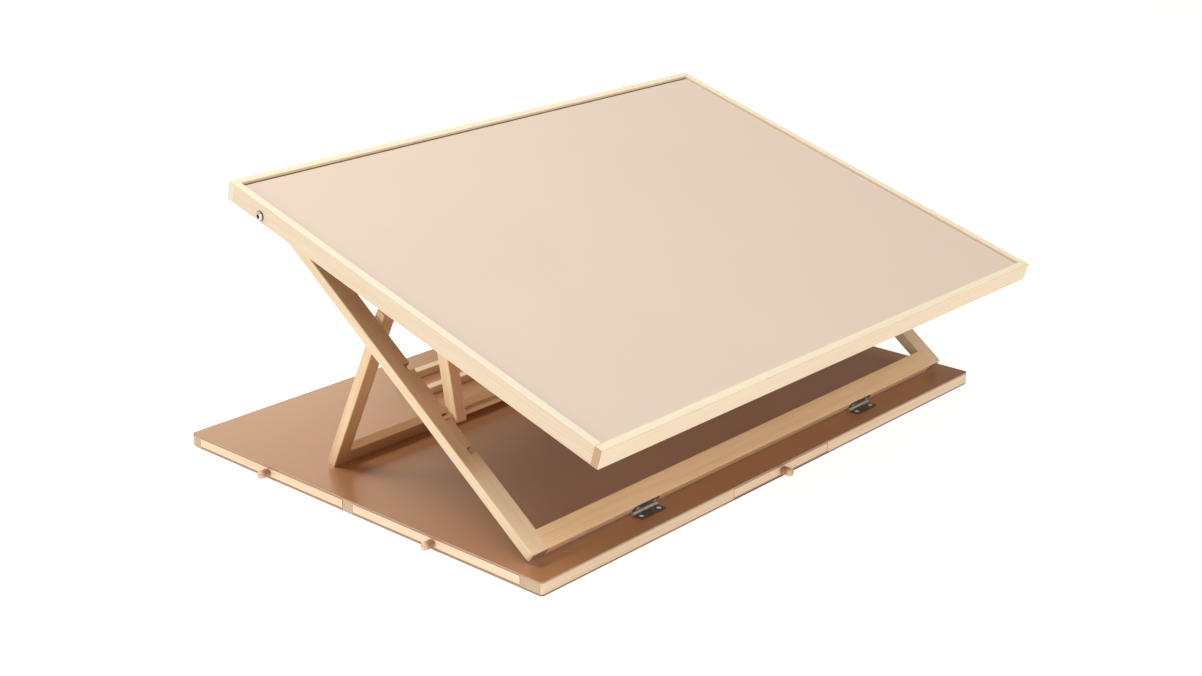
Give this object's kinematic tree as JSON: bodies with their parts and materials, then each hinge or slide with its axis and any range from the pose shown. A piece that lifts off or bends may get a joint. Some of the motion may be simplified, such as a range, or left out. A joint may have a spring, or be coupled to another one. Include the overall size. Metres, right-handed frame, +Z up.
{
  "type": "jigsaw puzzle table",
  "caption": "Tabletop jigsaw puzzle easel: a rimmed board on a folding wooden stand, hinged to a flat base box with shallow drawers.",
  "frame": {"origin": "centre of the base's underside", "axes": "+X right along the front edge, +Y to the back, +Z up"},
  "size_m": [0.791, 0.6386, 0.3333],
  "materials": {
    "brown_sheet": "smooth satin sheet",
    "base_wood": "planed, bare",
    "drawer_wood": "planed, bare",
    "knob_wood": "turned, bare",
    "panel_board": "hardboard",
    "stand_wood": "planed, bare",
    "rim_wood": "planed, bare",
    "work_sheet": "smooth matt board",
    "hinge_metal": "dark antique",
    "bright_steel": "plated",
    "spacer_nylon": "smooth"
  },
  "bodies": {
    "base": {"back_rail": "base_wood", "base_floor": "brown_sheet", "base_top_sheet": "brown_sheet", "front_rail_left": "base_wood", "front_rail_right": "base_wood", "hinge_base_leaves": "hinge_metal", "hinge_base_screws": "bright_steel", "hinge_pins": "bright_steel", "middle_rail_left": "base_wood", "middle_rail_right": "base_wood", "runner_left": "base_wood", "runner_right": "base_wood", "stop_strip_front": "base_wood", "stop_strip_rear": "base_wood"},
    "board": {"board_back_rim": "rim_wood", "board_front_rim": "rim_wood", "board_left_rim": "rim_wood", "board_panel": "panel_board", "board_right_rim": "rim_wood", "board_sheet": "work_sheet", "prop_blocks": "stand_wood", "prop_pins": "bright_steel"},
    "lift": {"board_pivot_bolts": "bright_steel", "board_pivot_spacers": "spacer_nylon", "hinge_frame_leaves": "hinge_metal", "hinge_frame_screws": "bright_steel", "leg_pivot_bolts": "bright_steel", "leg_pivot_spacers": "spacer_nylon", "lift_bottom_rail": "stand_wood", "lift_rail_left": "stand_wood", "lift_rail_right": "stand_wood"},
    "drawer_front": {"drawer_front_face": "drawer_wood", "drawer_front_floor": "panel_board", "drawer_front_knob": "knob_wood", "drawer_front_walls": "base_wood"},
    "drawer_left_front": {"drawer_left_front_face": "drawer_wood", "drawer_left_front_floor": "panel_board", "drawer_left_front_knob": "knob_wood", "drawer_left_front_walls": "base_wood"},
    "drawer_left_rear": {"drawer_left_rear_face": "drawer_wood", "drawer_left_rear_floor": "panel_board", "drawer_left_rear_knob": "knob_wood", "drawer_left_rear_walls": "base_wood"},
    "drawer_right_front": {"drawer_right_front_face": "drawer_wood", "drawer_right_front_floor": "panel_board", "drawer_right_front_knob": "knob_wood", "drawer_right_front_walls": "base_wood"},
    "drawer_right_rear": {"drawer_right_rear_face": "drawer_wood", "drawer_right_rear_floor": "panel_board", "drawer_right_rear_knob": "knob_wood", "drawer_right_rear_walls": "base_wood"},
    "leg": {"leg_bottom_rail": "stand_wood", "leg_left": "stand_wood", "leg_right": "stand_wood"},
    "prop": {"prop_dowel": "stand_wood", "prop_post_left": "stand_wood", "prop_post_right": "stand_wood"}
  },
  "joints": [
    {"name": "lift_fold", "type": "hinge", "parent": "base", "child": "lift", "pos_m": [0, -0.24751, 0.0184], "axis": [1, 0, 0], "range_deg": [-21.6, 0]},
    {"name": "leg_fold", "type": "hinge", "parent": "lift", "child": "leg", "pos_m": [0, -0.00459, 0.20587], "axis": [1, 0, 0], "range_deg": [0, 86.4]},
    {"name": "board_tilt", "type": "hinge", "parent": "lift", "child": "board", "pos_m": [0, 0.12687, 0.30376], "axis": [1, 0, 0], "range_deg": [-20, 0]},
    {"name": "prop_swing", "type": "hinge", "parent": "board", "child": "prop", "pos_m": [0, -0.0948, 0.23281], "axis": [1, 0, 0], "range_deg": [0, 10]},
    {"name": "drawer_left_front_slide", "type": "slide", "parent": "base", "child": "drawer_left_front", "axis": [-1, 0, 0], "range_m": [0, 0.2]},
    {"name": "drawer_right_front_slide", "type": "slide", "parent": "base", "child": "drawer_right_front", "axis": [1, 0, 0], "range_m": [0, 0.2]},
    {"name": "drawer_left_rear_slide", "type": "slide", "parent": "base", "child": "drawer_left_rear", "axis": [-1, 0, 0], "range_m": [0, 0.2]},
    {"name": "drawer_right_rear_slide", "type": "slide", "parent": "base", "child": "drawer_right_rear", "axis": [1, 0, 0], "range_m": [0, 0.2]},
    {"name": "drawer_front_slide", "type": "slide", "parent": "base", "child": "drawer_front", "axis": [0, -1, 0], "range_m": [0, 0.2]}
  ],
  "couplings": [
    {"joint": "leg_fold", "follows": "lift_fold", "ratio": -4},
    {"joint": "prop_swing", "follows": "board_tilt", "ratio": -0.5}
  ]
}
